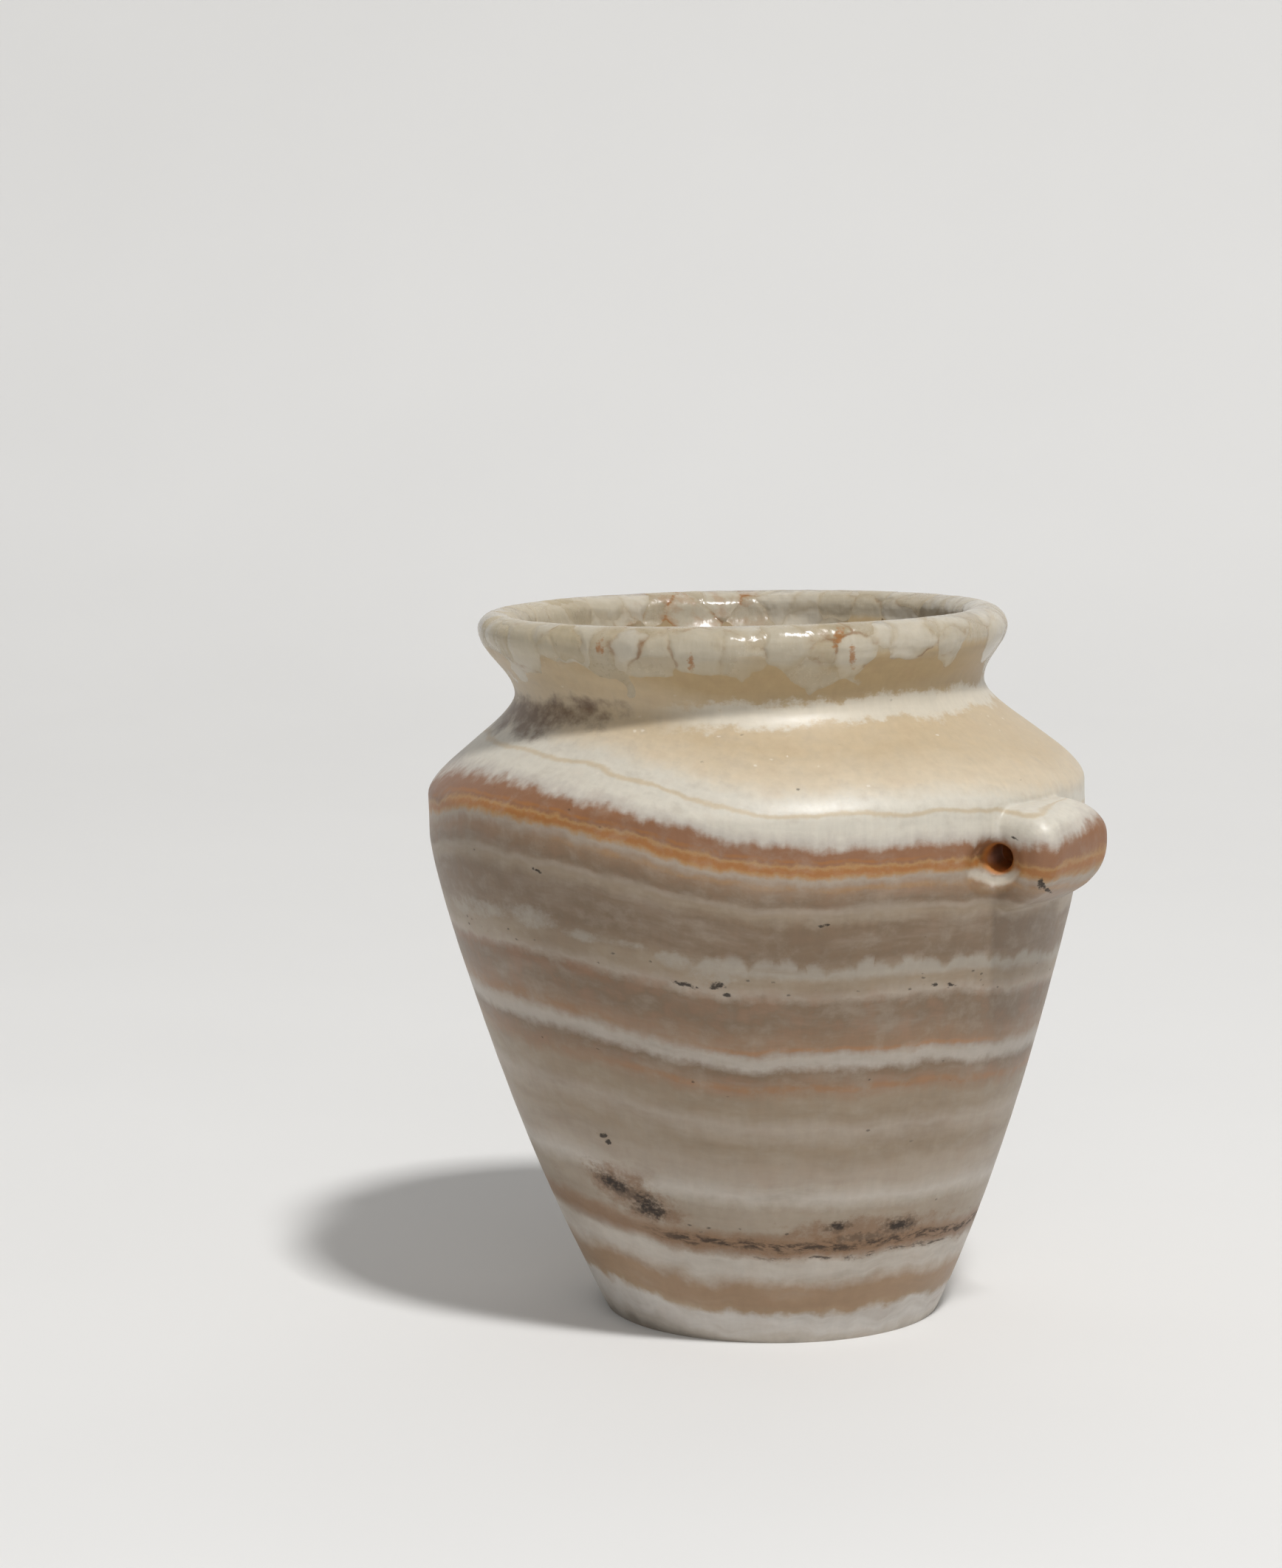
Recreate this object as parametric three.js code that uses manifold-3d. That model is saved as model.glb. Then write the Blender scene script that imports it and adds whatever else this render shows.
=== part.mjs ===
// A carved jar of banded stone: a hollowed body on a small flat foot, a low neck with a flaring lip,
// and two drilled lugs at the widest part. The jar is one block of stone, drawn here as the four
// pieces that it reads as. Millimetres, Z up, the foot on z = 0, the lugs on +X and -X.
import * as THREE from "three";
import { mergeVertices } from "three/addons/utils/BufferGeometryUtils.js";
import Module from "manifold-3d";

const wasm = await Module();
wasm.setup();

// Foot and body. The rises stack up from the floor to the top of the lip.
const FOOT_RADIUS = 28.3; // the flat that the jar stands on
const FOOT_ROUND = 8; // rounding between the flat and the wall
const FOOT_FLARE = 26.6; // degrees that the wall leans out where the rounding ends
const BELLY_RADIUS = 68.85;
const BELLY_RISE = 107; // floor to where the wall stands upright
const BAND_RISE = 8.3; // upright stretch round the widest part
const SHOULDER_RISE = 20.8; // from there up to the narrowest part of the neck

// Neck and lip
const NECK_RADIUS = 49.2;
const LIP_RISE = 12.5; // narrowest part of the neck up to the widest part of the lip
const LIP_RADIUS = 55.5;
const CROWN_RISE = 4; // widest part of the lip up to its crest
const LIP_OUTER_ROUND = 4.5; // outer edge of the lip in to its crest
const LIP_INNER_ROUND = 5; // crest in to the edge of the mouth

// Hollowed inside
const NECK_WALL = 8.2;
const BELLY_WALL = 12.5;
const FLOOR_THICKNESS = 16.6;

// Lugs
const LUG_REACH = 9; // how far a lug stands out past the belly
const LUG_WIDTH = 25; // along the hole
const LUG_RISE = 7.6; // level of the tip up to the top of the lug
const LUG_DROP = 16.5; // level of the tip down to where the underside runs into the wall
const LUG_LIFT = 0.6; // tip of the lug above the foot of the belly's upright stretch
const LUG_EDGE = 4.6; // rounding of the two ends
const LUG_ROOT = 9; // how far the flat back of a lug lies inside the wall, past its hole
const LUG_GAP = 0.3; // all round the root, and behind it

// Cord holes. Each is drilled from both ends, a little inwards, so that the two halves meet at an angle.
const HOLE_RADIUS = 2.4;
const HOLE_OFFSET = 3.65; // flat back of the lug out to where the two halves meet
const HOLE_DROP = 2.9; // below the level of the tip
const HOLE_SLANT = 17; // degrees
const FUNNEL_RADIUS = 4.4; // worn mouth of the hole
const FUNNEL_DEPTH = 4;

// Strays from a true round, because the jar is cut by hand: its axis leans, its rings tip and its rim
// sits off centre. The sideways values are for the top of the lip.
const LEAN_X = -4.15;
const LEAN_Y = -3.13;
const RIM_OFFSET_X = -1.84;
const RIM_OFFSET_Y = -1.38;
const BODY_TIP_X = 1.83; // degrees that a level ring of the belly rises along X
const BODY_TIP_Y = 0.35;
const RIM_TIP_X = 1.54; // the same for the lip
const RIM_TIP_Y = -0.24;

// How far each end of a curve pulls it straight, as shares of the curve's own rise
const BELLY_PULL_SHARES = [0.341, 0.092];
const SHOULDER_PULL_SHARES = [0.283, 0.265];
const LIP_PULL_SHARES = [0.38, 0.36];
const CAVITY_PULL_SHARES = [0.5, 0.45];
const BOWL_PULL_SHARE = 0.69; // of the bowl's rise, down its wall
const BOWL_FLOOR_SHARE = 0.62; // of the bowl's radius, across its floor
const LUG_TOP_SHARES = [0.42, 0.57]; // along the top, and up from the tip
const LUG_UNDERSIDE_SHARES = [0.48, 0.39]; // along the underside, and down from the tip
const SEAT_SHARE = 0.85; // along the shoulder curve, where the neck starts

const OVERRUN = 1; // of a cut past the face that it opens
const RING_STEPS = 64;
const CURVE_STEPS = 10;
const HOLE_STEPS = 16;
const EDGE_STEPS = 3;

const bandLevel = BELLY_RISE + BAND_RISE;
const neckLevel = bandLevel + SHOULDER_RISE;
const lipLevel = neckLevel + LIP_RISE;
const crestLevel = lipLevel + CROWN_RISE;
const throatRadius = NECK_RADIUS - NECK_WALL;
const cavityRadius = BELLY_RADIUS - BELLY_WALL;
const crestRadius = LIP_RADIUS - LIP_OUTER_ROUND;
const mouthRadius = crestRadius - LIP_INNER_ROUND;
const lugTipRadius = BELLY_RADIUS + LUG_REACH;
const lugTipLevel = BELLY_RISE + LUG_LIFT;
const lugBackRadius = BELLY_RADIUS - LUG_ROOT;
const holeLevel = lugTipLevel - HOLE_DROP;

// A curve that leaves one height upright and arrives at the next upright, like a swelling wall.
function uprightCurve(start, end, [startShare, endShare]) {
  const rise = end.y - start.y;
  return new THREE.CubicBezierCurve(
    start,
    new THREE.Vector2(start.x, start.y + startShare * rise),
    new THREE.Vector2(end.x, end.y - endShare * rise),
    end,
  );
}

// Points along part of a curve, both ends included.
function pointsBetween(curve, from, to, steps) {
  return Array.from({ length: steps + 1 }, (_, i) => curve.getPoint(from + ((to - from) * i) / steps));
}

const shoulder = uprightCurve(
  new THREE.Vector2(BELLY_RADIUS, bandLevel),
  new THREE.Vector2(NECK_RADIUS, neckLevel),
  SHOULDER_PULL_SHARES,
);
const seat = shoulder.getPoint(SEAT_SHARE);

// Outside of the body, from the middle of the foot up to the seat of the neck.
function bodyOutline() {
  const lean = THREE.MathUtils.degToRad(FOOT_FLARE);
  const outward = new THREE.Vector2(Math.sin(lean), Math.cos(lean));
  const rounding = new THREE.EllipseCurve(FOOT_RADIUS, FOOT_ROUND, FOOT_ROUND, FOOT_ROUND, -Math.PI / 2, -lean);
  const wallFoot = rounding.getPoint(1);
  const wallTop = new THREE.Vector2(BELLY_RADIUS, BELLY_RISE);
  const rise = wallTop.y - wallFoot.y;
  const [footShare, topShare] = BELLY_PULL_SHARES;
  const wall = new THREE.CubicBezierCurve(
    wallFoot,
    wallFoot.clone().addScaledVector(outward, (footShare * rise) / outward.y),
    new THREE.Vector2(wallTop.x, wallTop.y - topShare * rise),
    wallTop,
  );
  return [
    new THREE.Vector2(0, 0),
    ...rounding.getPoints(CURVE_STEPS / 2),
    ...wall.getPoints(CURVE_STEPS).slice(1),
    ...pointsBetween(shoulder, 0, SEAT_SHARE, CURVE_STEPS),
  ];
}

// Inside of the body, from the seat of the neck down to the middle of the hollow's floor.
function cavityOutline() {
  const widest = new THREE.Vector2(cavityRadius, BELLY_RISE);
  const bowlRise = BELLY_RISE - FLOOR_THICKNESS;
  const upper = uprightCurve(widest, new THREE.Vector2(throatRadius, seat.y), CAVITY_PULL_SHARES);
  const bowl = new THREE.CubicBezierCurve(
    widest,
    new THREE.Vector2(cavityRadius, BELLY_RISE - (1 - BOWL_PULL_SHARE) * bowlRise),
    new THREE.Vector2(BOWL_FLOOR_SHARE * cavityRadius, FLOOR_THICKNESS),
    new THREE.Vector2(0, FLOOR_THICKNESS),
  );
  return [...upper.getPoints(CURVE_STEPS).reverse(), ...bowl.getPoints(CURVE_STEPS).slice(1)];
}

// Closed outline of the neck and lip: up the outside, over the crest, down the mouth to the seat.
function neckOutline() {
  const neck = new THREE.Vector2(NECK_RADIUS, neckLevel);
  const outside = uprightCurve(neck, new THREE.Vector2(LIP_RADIUS, lipLevel), LIP_PULL_SHARES);
  const outerRound = new THREE.EllipseCurve(crestRadius, lipLevel, LIP_OUTER_ROUND, CROWN_RISE, 0, Math.PI / 2);
  const innerRound = new THREE.EllipseCurve(crestRadius, lipLevel, LIP_INNER_ROUND, CROWN_RISE, Math.PI / 2, Math.PI);
  const throat = new THREE.Vector2(throatRadius, neckLevel);
  const inside = uprightCurve(throat, new THREE.Vector2(mouthRadius, lipLevel), LIP_PULL_SHARES);
  return [
    ...pointsBetween(shoulder, SEAT_SHARE, 1, EDGE_STEPS),
    ...outside.getPoints(CURVE_STEPS).slice(1),
    ...outerRound.getPoints(CURVE_STEPS / 2).slice(1),
    ...innerRound.getPoints(CURVE_STEPS / 2).slice(1),
    ...inside.getPoints(CURVE_STEPS).reverse().slice(1),
    new THREE.Vector2(throatRadius, seat.y),
    seat.clone(),
  ];
}

// A lathe turns round its own Y axis, so it is stood up to turn round Z.
function turned(outline, steps = RING_STEPS) {
  return new THREE.LatheGeometry(outline, steps).rotateX(Math.PI / 2);
}

function solidOf(geometry) {
  const bare = geometry.clone();
  bare.deleteAttribute("normal");
  bare.deleteAttribute("uv");
  const merged = mergeVertices(bare);
  const corners = merged.index.array;
  const triVerts = [];
  for (let i = 0; i < corners.length; i += 3) {
    const [a, b, c] = corners.slice(i, i + 3);
    // A triangle at the axis of a turned piece can have two corners in one place.
    if (a !== b && b !== c && c !== a) triVerts.push(a, b, c);
  }
  return new wasm.Manifold(
    new wasm.Mesh({
      numProp: 3,
      vertProperties: merged.attributes.position.array,
      triVerts: Uint32Array.from(triVerts),
    }),
  );
}

// One half of a lug's hole, from the middle of the lug out past the end that faces -Y. The worn mouth
// keeps on past the end, where it cuts a shallow trough in the wall.
function drilling() {
  const faceDistance = LUG_WIDTH / 2;
  const outline = [
    new THREE.Vector2(0, -OVERRUN),
    new THREE.Vector2(HOLE_RADIUS, -OVERRUN),
    new THREE.Vector2(HOLE_RADIUS, faceDistance - FUNNEL_DEPTH),
    new THREE.Vector2(FUNNEL_RADIUS, faceDistance),
    new THREE.Vector2(FUNNEL_RADIUS, LUG_WIDTH),
    new THREE.Vector2(0, LUG_WIDTH),
  ];
  return new THREE.LatheGeometry(outline, HOLE_STEPS)
    .rotateZ(Math.PI + THREE.MathUtils.degToRad(HOLE_SLANT))
    .translate(lugBackRadius + HOLE_OFFSET, 0, holeLevel);
}

// Both halves of the hole in the lug on +X. The half turn about X brings the second to the other end.
function cordHole() {
  const near = drilling();
  const far = near.clone().translate(0, 0, -holeLevel).rotateX(Math.PI).translate(0, 0, holeLevel);
  return solidOf(near).add(solidOf(far));
}

// The lug on +X: one outline drawn along the hole, with rounded ends, made larger all round by a
// clearance. It runs on inwards past its root, so that the rounding of the ends has room there.
function lugBlank(clearance) {
  const root = BELLY_RADIUS - LUG_REACH;
  const innerEnd = root - 2 * LUG_EDGE;
  const depth = lugTipRadius - root;
  const [topShare, tipUpShare] = LUG_TOP_SHARES;
  const [underShare, tipDownShare] = LUG_UNDERSIDE_SHARES;
  const top = lugTipLevel + LUG_RISE;
  const bottom = lugTipLevel - LUG_DROP;
  const outline = new THREE.Shape();
  outline.moveTo(innerEnd, bottom);
  outline.lineTo(root, bottom);
  outline.bezierCurveTo(
    root + underShare * depth,
    bottom + (underShare / 2) * LUG_DROP,
    lugTipRadius,
    lugTipLevel - tipDownShare * LUG_DROP,
    lugTipRadius,
    lugTipLevel,
  );
  outline.bezierCurveTo(
    lugTipRadius,
    lugTipLevel + tipUpShare * LUG_RISE,
    root + (1 - topShare / 2) * depth,
    top,
    root + topShare * depth,
    top,
  );
  outline.lineTo(innerEnd, top);
  const length = LUG_WIDTH + 2 * clearance;
  return new THREE.ExtrudeGeometry(outline, {
    depth: length - 2 * LUG_EDGE,
    curveSegments: CURVE_STEPS,
    bevelThickness: LUG_EDGE,
    bevelSize: LUG_EDGE,
    bevelOffset: clearance - LUG_EDGE,
    bevelSegments: EDGE_STEPS,
  })
    .translate(0, 0, LUG_EDGE - length / 2)
    .rotateX(Math.PI / 2);
}

// All that lies farther along +X than a flat seat cut across the wall. The clearance moves it inwards.
function beyondSeat(clearance) {
  const depth = LUG_ROOT + LUG_REACH + clearance + OVERRUN;
  const middle = lugBackRadius - clearance + depth / 2;
  return solidOf(new THREE.BoxGeometry(depth, 2 * LUG_WIDTH, 2 * crestLevel).translate(middle, 0, crestLevel));
}

// Carries a point of the true round to where the hand-cut jar has it. The foot stays flat.
function stray(point) {
  const { x, y, z } = point;
  const bodyShare = THREE.MathUtils.smoothstep(z, 0, BELLY_RISE);
  const rimShare = THREE.MathUtils.smoothstep(z, neckLevel, crestLevel);
  const offsetShare = (Math.max(0, z - bandLevel) / (crestLevel - bandLevel)) ** 2;
  const heightShare = z / crestLevel;
  const tipX = THREE.MathUtils.lerp(BODY_TIP_X * bodyShare, RIM_TIP_X, rimShare);
  const tipY = THREE.MathUtils.lerp(BODY_TIP_Y * bodyShare, RIM_TIP_Y, rimShare);
  return point.set(
    x + LEAN_X * heightShare + RIM_OFFSET_X * offsetShare,
    y + LEAN_Y * heightShare + RIM_OFFSET_Y * offsetShare,
    z + x * Math.tan(THREE.MathUtils.degToRad(tipX)) + y * Math.tan(THREE.MathUtils.degToRad(tipY)),
  );
}

function stone(color, roughness) {
  return new THREE.MeshStandardMaterial({ color, roughness, metalness: 0 });
}

// A finished piece: its solid carried to its hand-cut place, as one named mesh.
function piece(name, solid, material) {
  const cut = solid.getMesh();
  const geometry = new THREE.BufferGeometry();
  const position = new THREE.BufferAttribute(Float32Array.from(cut.vertProperties), 3);
  const point = new THREE.Vector3();
  for (let i = 0; i < position.count; i++) {
    stray(point.fromBufferAttribute(position, i));
    position.setXYZ(i, point.x, point.y, point.z);
  }
  geometry.setAttribute("position", position);
  geometry.setIndex(new THREE.BufferAttribute(Uint32Array.from(cut.triVerts), 1));
  geometry.computeVertexNormals();
  const mesh = new THREE.Mesh(geometry, material);
  mesh.name = name;
  return mesh;
}

const halfTurn = (solid) => solid.rotate([0, 0, 180]);

const rightHole = cordHole();
const rightLug = solidOf(lugBlank(0)).intersect(beyondSeat(0)).subtract(rightHole);
const rightPocket = solidOf(lugBlank(LUG_GAP)).intersect(beyondSeat(LUG_GAP));
const body = solidOf(turned([...bodyOutline(), ...cavityOutline()]))
  .subtract(rightPocket)
  .subtract(rightHole)
  .subtract(halfTurn(rightPocket))
  .subtract(halfTurn(rightHole));
const neckAndLip = solidOf(turned(neckOutline()));

const jar = new THREE.Group();
jar.add(
  piece("body", body, stone(0xc9b294, 0.38)),
  piece("neck_and_lip", neckAndLip, stone(0xd8d0c2, 0.3)),
  piece("lug_right", rightLug, stone(0xd2bfa6, 0.36)),
  piece("lug_left", halfTurn(rightLug), stone(0xd2bfa6, 0.36)),
);

export default jar;
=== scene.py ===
"""A carved jar of banded travertine with drilled lugs, standing on a plain pale floor."""

import math

import bmesh
import bpy
from mathutils import Euler, Matrix, Vector, noise


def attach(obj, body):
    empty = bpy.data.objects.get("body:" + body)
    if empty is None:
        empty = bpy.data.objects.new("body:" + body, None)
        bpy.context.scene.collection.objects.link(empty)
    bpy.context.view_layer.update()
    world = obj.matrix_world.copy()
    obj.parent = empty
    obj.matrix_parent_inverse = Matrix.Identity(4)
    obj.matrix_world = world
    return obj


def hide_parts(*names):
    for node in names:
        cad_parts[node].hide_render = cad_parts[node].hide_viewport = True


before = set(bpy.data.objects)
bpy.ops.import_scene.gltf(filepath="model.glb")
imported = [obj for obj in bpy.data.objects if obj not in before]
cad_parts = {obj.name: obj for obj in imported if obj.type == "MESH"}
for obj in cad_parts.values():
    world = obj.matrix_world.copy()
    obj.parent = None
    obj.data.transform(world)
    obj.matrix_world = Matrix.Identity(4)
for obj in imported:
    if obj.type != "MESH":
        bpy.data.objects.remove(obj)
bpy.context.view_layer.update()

MM = 0.001

# The jar's sizes, the same as its solids have
FOOT_RADIUS = 28.3 * MM
FOOT_ROUND = 8 * MM
FOOT_FLARE = math.radians(26.6)
BELLY_RADIUS = 68.85 * MM
BELLY_LEVEL = 107 * MM
BAND_LEVEL = BELLY_LEVEL + 8.3 * MM
NECK_RADIUS = 49.2 * MM
NECK_LEVEL = BAND_LEVEL + 20.8 * MM
LIP_RADIUS = 55.5 * MM
LIP_LEVEL = NECK_LEVEL + 12.5 * MM
CREST_RADIUS = LIP_RADIUS - 4.5 * MM
CREST_LEVEL = LIP_LEVEL + 4 * MM
MOUTH_RADIUS = CREST_RADIUS - 5 * MM
THROAT_RADIUS = NECK_RADIUS - 8.2 * MM
THROAT_LEVEL = 133.4 * MM
CAVITY_RADIUS = BELLY_RADIUS - 12.5 * MM
FLOOR_THICKNESS = 16.6 * MM

# How far each stretch of wall runs on straight from its lower and upper end, as shares of its rise
BELLY_SHARES = (0.341, 0.092)
BAND_SHARES = (0.3, 0.3)
SHOULDER_SHARES = (0.283, 0.265)
LIP_SHARES = (0.38, 0.36)

# The same down the inside, from the upper end of each stretch
MOUTH_SHARES = (0.36, 0.38)
THROAT_SHARES = (0.3, 0.3)
INNER_SHOULDER_SHARES = (0.45, 0.5)
BOWL_WALL_SHARE = 0.31
BOWL_FLOOR_SHARE = 0.62

LUG_TIP_RADIUS = BELLY_RADIUS + 9 * MM
LUG_TIP_LEVEL = BELLY_LEVEL + 0.6 * MM
# The photo's outline has the right lug a little further out than its solid, with a fuller underside
RIGHT_LUG_TIP_RADIUS = LUG_TIP_RADIUS + 2.2 * MM
RIGHT_LUG_FULLNESS = 1.42
LUG_WIDTH = 25 * MM
LUG_TOP_LEVEL = LUG_TIP_LEVEL + 7.6 * MM
LUG_BOTTOM_LEVEL = LUG_TIP_LEVEL - 16.5 * MM
LUG_ROOT_RADIUS = BELLY_RADIUS - 9 * MM
LUG_EDGE = 4.6 * MM
LUG_BACK_RADIUS = CAVITY_RADIUS + 2 * MM
LUG_BACK_MARGIN = 1 * MM

# The lug's outline: how far its top runs out, and the pulls of its underside, nose, brow and top
LUG_TOP_SHARE = 0.42
UNDERSIDE_OUT_SHARE = 0.48
UNDERSIDE_UP_SHARE = 0.24
NOSE_SHARE = 0.39
BROW_SHARE = 0.57
TOP_PULL_SHARE = 0.37

# The cord holes, drilled from both ends of a lug to meet in its middle
HOLE_RADIUS = 2.5 * MM
HOLE_MIDDLE_RADIUS = LUG_ROOT_RADIUS + 3.65 * MM
HOLE_LEVEL = LUG_TIP_LEVEL - 2.9 * MM
HOLE_SLANT = math.radians(17)
HOLE_MOUTH_RADIUS = HOLE_MIDDLE_RADIUS + LUG_WIDTH / 2 * math.tan(HOLE_SLANT)
HOLE_OVERLAP = 1 * MM
FUNNEL_RADIUS = 3.1 * MM
FUNNEL_DEPTH = 2.6 * MM
FUNNEL_NECK_SHARE = 1.04
FUNNEL_NECK_DEPTH_SHARE = 0.6

# The shallow scoop that the cord has worn outside and below each mouth
SCOOP_RADIUS = 6.2 * MM
SCOOP_DEPTH = 1.5 * MM
SCOOP_OUTWARD = 2.2 * MM
SCOOP_DROP = 1.2 * MM
SCOOP_FLAT_SHARE = 0.55

# How finely the jar and its lugs are cut, and how close two points are to be one
JAR_STEPS = 288
HOLE_STEPS = 40
LUG_ROW_ALONG = 0.6 * MM
LUG_ROW = 0.7 * MM
SPUN_MERGE = 0.002 * MM
CARVED_MERGE = 0.08 * MM

# How far round the lugs the wall is cut finer, and which creases are rubbed smooth
FINE_REACH = 6 * MM
FINE_DEPTH = 8 * MM
JOIN_CREASE = math.radians(14)
JOIN_REACH = 4 * MM
JOIN_PROUD = 2 * MM
LOWER_JOIN_DROP = 4 * MM
MOUTH_CREASE = math.radians(20)
MOUTH_CREASE_REACH = 9 * MM
MOUTH_CREASE_AWAY = 12 * MM

# The hand-worked surface: lumps to a metre and how far they sink it in millimetres, fine ones most on the lip
BROAD_LUMPS = 34
BROAD_WEAR = 0.34
RIPPLE_LUMPS = 120
RIPPLE_SQUASH = 1.6
RIPPLE_WEAR = 0.12
FINE_LUMPS = 420
FINE_WEAR = 0.05
LIP_WEAR = 0.12
LIP_WEAR_START = NECK_LEVEL + 4 * MM
FLAT_FOOT_LEVEL = 0.5 * MM
WORN_FOOT_LEVEL = 5 * MM

# The hand-cut strays from a true round: how far it leans and is offset at the top, and how its rings tip
LEAN = Vector((-4.15, -3.13)) * MM
RIM_OFFSET = Vector((-1.84, -1.38)) * MM
BODY_TIP = Vector((math.tan(math.radians(1.83)), math.tan(math.radians(0.35))))
RIM_TIP = Vector((math.tan(math.radians(1.54)), math.tan(math.radians(-0.24))))

# The photograph's camera
CAMERA_BEARING = math.radians(37)
CAMERA_PITCH = math.radians(7.622)
CAMERA_PLACE = (530.96 * MM, -751.13 * MM, 238.12 * MM)
CAMERA_LENS = 101.51
CAMERA_SENSOR = 36


# The jar's form


def curve(start, pull, push, end, steps):
    """Points along a cubic curve, without its first."""
    points = []
    for step in range(1, steps + 1):
        t = step / steps
        u = 1 - t
        points.append(u**3 * start + 3 * u * u * t * pull + 3 * u * t * t * push + t**3 * end)
    return points


def upright(start, end, shares, steps):
    """A wall that leaves one height upright and arrives upright at the next."""
    rise = end.y - start.y
    pull = start + Vector((0, shares[0] * rise))
    push = end - Vector((0, shares[1] * rise))
    return curve(start, pull, push, end, steps)


def arc(centre, across, up, start_angle, end_angle, steps):
    """Points along part of an ellipse, without its first."""
    angles = [start_angle + (end_angle - start_angle) * step / steps for step in range(1, steps + 1)]
    return [centre + Vector((across * math.cos(a), up * math.sin(a))) for a in angles]


def outer_wall():
    """From the middle of the foot up the outside to the lip: radius and height."""
    points = [Vector((0, 0)), Vector((FOOT_RADIUS / 2, 0)), Vector((FOOT_RADIUS, 0))]
    foot_centre = Vector((FOOT_RADIUS, FOOT_ROUND))
    points += arc(foot_centre, FOOT_ROUND, FOOT_ROUND, -math.pi / 2, -FOOT_FLARE, steps=8)
    wall_foot = points[-1]
    wall_top = Vector((BELLY_RADIUS, BELLY_LEVEL))
    outward = Vector((math.sin(FOOT_FLARE), math.cos(FOOT_FLARE)))
    rise = wall_top.y - wall_foot.y
    pull = wall_foot + outward * (BELLY_SHARES[0] * rise / outward.y)
    push = wall_top - Vector((0, BELLY_SHARES[1] * rise))
    points += curve(wall_foot, pull, push, wall_top, steps=62)
    points += upright(wall_top, Vector((BELLY_RADIUS, BAND_LEVEL)), BAND_SHARES, steps=5)
    points += upright(points[-1], Vector((NECK_RADIUS, NECK_LEVEL)), SHOULDER_SHARES, steps=22)
    points += upright(points[-1], Vector((LIP_RADIUS, LIP_LEVEL)), LIP_SHARES, steps=16)
    return points


def jar_outline():
    """The outer wall, then over the lip and down the inside: radius and height."""
    points = outer_wall()
    crest = Vector((CREST_RADIUS, LIP_LEVEL))
    rise = CREST_LEVEL - LIP_LEVEL
    points += arc(crest, LIP_RADIUS - CREST_RADIUS, rise, 0, math.pi / 2, steps=8)
    points += arc(crest, CREST_RADIUS - MOUTH_RADIUS, rise, math.pi / 2, math.pi, steps=7)
    points += upright(points[-1], Vector((THROAT_RADIUS, NECK_LEVEL)), MOUTH_SHARES, steps=10)
    points += upright(points[-1], Vector((THROAT_RADIUS, THROAT_LEVEL)), THROAT_SHARES, steps=1)
    points += upright(points[-1], Vector((CAVITY_RADIUS, BELLY_LEVEL)), INNER_SHOULDER_SHARES, steps=8)
    bowl = BELLY_LEVEL - FLOOR_THICKNESS
    pull = points[-1] - Vector((0, BOWL_WALL_SHARE * bowl))
    push = Vector((BOWL_FLOOR_SHARE * CAVITY_RADIUS, FLOOR_THICKNESS))
    points += curve(points[-1], pull, push, Vector((0, FLOOR_THICKNESS)), steps=18)
    return points


def new_object(name, bm):
    mesh = bpy.data.meshes.new(name)
    bm.to_mesh(mesh)
    bm.free()
    thing = bpy.data.objects.new(name, mesh)
    bpy.context.scene.collection.objects.link(thing)
    return thing


def open_mesh(thing):
    bm = bmesh.new()
    bm.from_mesh(thing.data)
    return bm


def close_mesh(bm, thing):
    bm.to_mesh(thing.data)
    bm.free()


def all_parts(bm):
    return bm.verts[:] + bm.edges[:] + bm.faces[:]


def moved_points(made):
    """The points that an extrusion has made."""
    return [v for v in made["geom"] if isinstance(v, bmesh.types.BMVert)]


def chain(bm, points):
    """A line of edges in the X-Z plane."""
    verts = [bm.verts.new((p.x, 0, p.y)) for p in points]
    return verts, [bm.edges.new(pair) for pair in zip(verts, verts[1:])]


def turn(outline, steps):
    """A closed turned solid from an outline that starts and ends on the upright axis."""
    bm = bmesh.new()
    verts, edges = chain(bm, outline)
    bmesh.ops.spin(
        bm,
        geom=verts + edges,
        cent=(0, 0, 0),
        axis=(0, 0, 1),
        angle=2 * math.pi,
        steps=steps,
        use_merge=True,
    )
    bmesh.ops.remove_doubles(bm, verts=bm.verts, dist=SPUN_MERGE)
    bmesh.ops.recalc_face_normals(bm, faces=bm.faces)
    return bm


def slice_up(bm, normal, low, high, step):
    """Cuts rows across a form so that it can be rubbed smooth."""
    rows = round((high - low) / step)
    for row in range(1, rows):
        place = Vector(normal) * (low + (high - low) * row / rows)
        bmesh.ops.bisect_plane(bm, geom=all_parts(bm), plane_co=place, plane_no=normal)


def lug_outline(tip_radius, fullness, inner_end):
    """A lug seen along its hole: radius and height. fullness swells its underside."""
    depth = tip_radius - LUG_ROOT_RADIUS
    drop = LUG_TIP_LEVEL - LUG_BOTTOM_LEVEL
    rise = LUG_TOP_LEVEL - LUG_TIP_LEVEL
    start = Vector((LUG_ROOT_RADIUS, LUG_BOTTOM_LEVEL))
    tip = Vector((tip_radius, LUG_TIP_LEVEL))
    top = Vector((LUG_ROOT_RADIUS + LUG_TOP_SHARE * depth, LUG_TOP_LEVEL))
    pull = start + Vector((UNDERSIDE_OUT_SHARE * fullness * depth, UNDERSIDE_UP_SHARE * drop))
    push = tip - Vector((0, NOSE_SHARE * fullness * drop))
    points = [Vector((inner_end, LUG_BOTTOM_LEVEL)), start]
    points += curve(start, pull, push, tip, steps=30)
    pull = tip + Vector((0, BROW_SHARE * rise))
    push = top + Vector((TOP_PULL_SHARE * depth, 0))
    points += curve(tip, pull, push, top, steps=20)
    points.append(Vector((inner_end, LUG_TOP_LEVEL)))
    return points


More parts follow.
